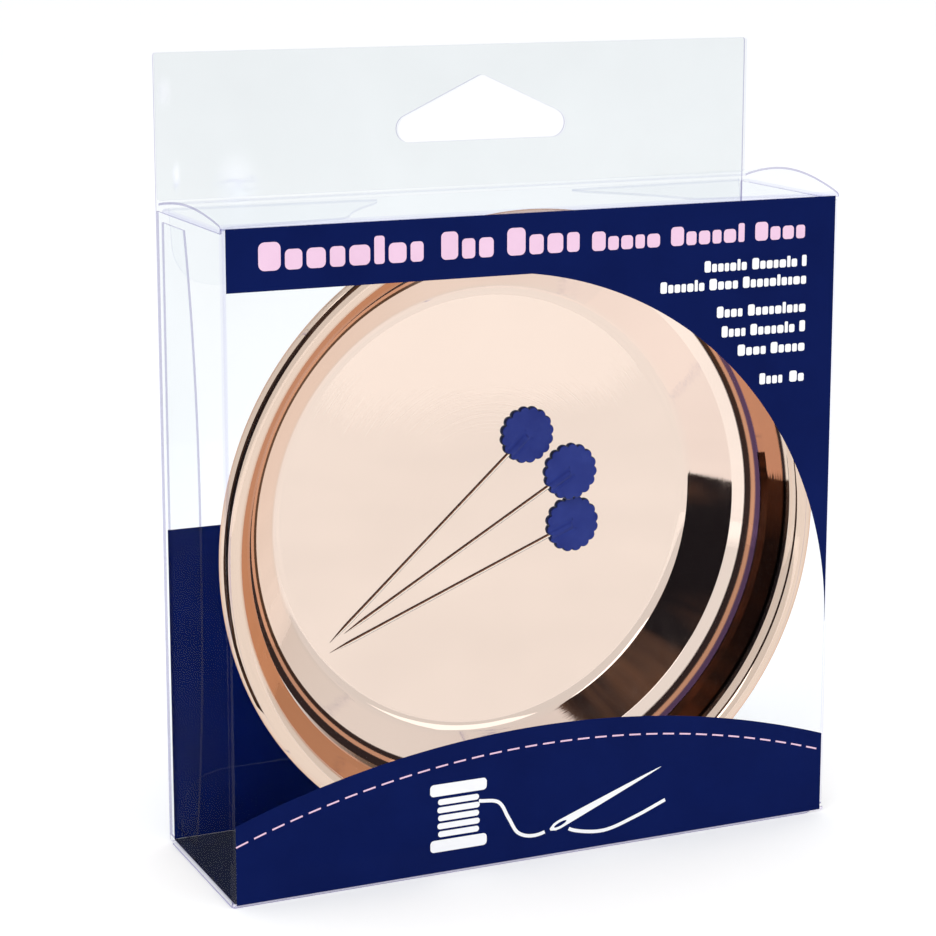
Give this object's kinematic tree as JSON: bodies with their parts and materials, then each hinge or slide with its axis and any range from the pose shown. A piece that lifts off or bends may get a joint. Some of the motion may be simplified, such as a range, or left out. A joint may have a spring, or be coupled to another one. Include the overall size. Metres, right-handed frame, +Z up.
{
  "type": "magnetic pin dish in hang box",
  "caption": "Shallow rose-gold magnetic dish with flat flower-head pins on its floor, standing in a clear folded hang-tab box with tucked ends and a delta-shaped peg hole.",
  "frame": {"origin": "centre of the box's footprint on the surface it stands on", "axes": "+X to the right seen from the front, +Y to the back panel, +Z up towards the hang tab"},
  "size_m": [0.1014, 0.0304, 0.1238],
  "materials": {
    "clear_pet": "clear glossy sheet, navy print on the front and back",
    "rose_gold_plate": "polished rose-gold plating on pressed steel",
    "bright_steel": "bright drawn or pressed steel",
    "adhesive_foam": "white double-sided foam",
    "ferrite": "dull sintered ferrite",
    "black_rubber": "matt moulded rubber",
    "blue_head_plastic": "satin moulded plastic"
  },
  "bodies": {
    "box": {"front_panel": "clear_pet", "back_panel": "clear_pet", "hang_tab_ply": "clear_pet", "left_side_panel": "clear_pet", "right_side_panel": "clear_pet", "glue_flap": "clear_pet"},
    "lid": {"lid_panel": "clear_pet"},
    "top_tuck": {"top_tuck_flap": "clear_pet"},
    "top_left_dust": {"top_left_dust_flap": "clear_pet"},
    "top_right_dust": {"top_right_dust_flap": "clear_pet"},
    "bottom": {"bottom_panel": "clear_pet"},
    "bottom_tuck": {"bottom_tuck_flap": "clear_pet"},
    "bottom_left_dust": {"bottom_left_dust_flap": "clear_pet"},
    "bottom_right_dust": {"bottom_right_dust_flap": "clear_pet"},
    "dish": {"dish_bowl": "rose_gold_plate", "foam_ring": "adhesive_foam", "ring_magnet": "ferrite", "magnet_cup": "bright_steel", "rubber_boot": "black_rubber"},
    "pin_1": {"pin_1_shaft": "bright_steel", "pin_1_head": "blue_head_plastic"},
    "pin_2": {"pin_2_shaft": "bright_steel", "pin_2_head": "blue_head_plastic"},
    "pin_3": {"pin_3_shaft": "bright_steel", "pin_3_head": "blue_head_plastic"}
  },
  "joints": [
    {"name": "lid_hinge", "type": "hinge", "parent": "box", "child": "lid", "pos_m": [0, -0.01535, 0.10155], "axis": [1, 0, 0], "range_deg": [0, 270]},
    {"name": "top_tuck_fold", "type": "hinge", "parent": "lid", "child": "top_tuck", "pos_m": [0, 0.0136, 0.1009], "axis": [-1, 0, 0], "range_deg": [0, 25]},
    {"name": "top_left_dust_hinge", "type": "hinge", "parent": "box", "child": "top_left_dust", "pos_m": [-0.05035, 0, 0.10025], "axis": [0, -1, 0], "range_deg": [0, 90]},
    {"name": "top_right_dust_hinge", "type": "hinge", "parent": "box", "child": "top_right_dust", "pos_m": [0.05035, 0, 0.10025], "axis": [0, 1, 0], "range_deg": [0, 90]},
    {"name": "bottom_hinge", "type": "hinge", "parent": "box", "child": "bottom", "pos_m": [0, -0.01535, -0.00015], "axis": [-1, 0, 0], "range_deg": [0, 270]},
    {"name": "bottom_tuck_fold", "type": "hinge", "parent": "bottom", "child": "bottom_tuck", "pos_m": [0, 0.0136, 0.0005], "axis": [1, 0, 0], "range_deg": [0, 25]},
    {"name": "bottom_left_dust_hinge", "type": "hinge", "parent": "box", "child": "bottom_left_dust", "pos_m": [-0.05035, 0, 0.00115], "axis": [0, 1, 0], "range_deg": [0, 90]},
    {"name": "bottom_right_dust_hinge", "type": "hinge", "parent": "box", "child": "bottom_right_dust", "pos_m": [0.05035, 0, 0.00115], "axis": [0, -1, 0], "range_deg": [0, 90]},
    {"name": "dish_turn", "type": "hinge", "parent": "box", "child": "dish", "pos_m": [0, 0, 0.05065], "axis": [0, 1, 0], "continuous": true},
    {"name": "pin_1_lift", "type": "slide", "parent": "dish", "child": "pin_1", "axis": [0, -1, 0], "range_m": [0, 0.016]},
    {"name": "pin_2_lift", "type": "slide", "parent": "dish", "child": "pin_2", "axis": [0, -1, 0], "range_m": [0, 0.016]},
    {"name": "pin_3_lift", "type": "slide", "parent": "dish", "child": "pin_3", "axis": [0, -1, 0], "range_m": [0, 0.016]}
  ],
  "couplings": [
    {"joint": "top_left_dust_hinge", "follows": "lid_hinge", "ratio": 0.33333},
    {"joint": "top_right_dust_hinge", "follows": "lid_hinge", "ratio": 0.33333},
    {"joint": "bottom_left_dust_hinge", "follows": "bottom_hinge", "ratio": 0.33333},
    {"joint": "bottom_right_dust_hinge", "follows": "bottom_hinge", "ratio": 0.33333}
  ]
}
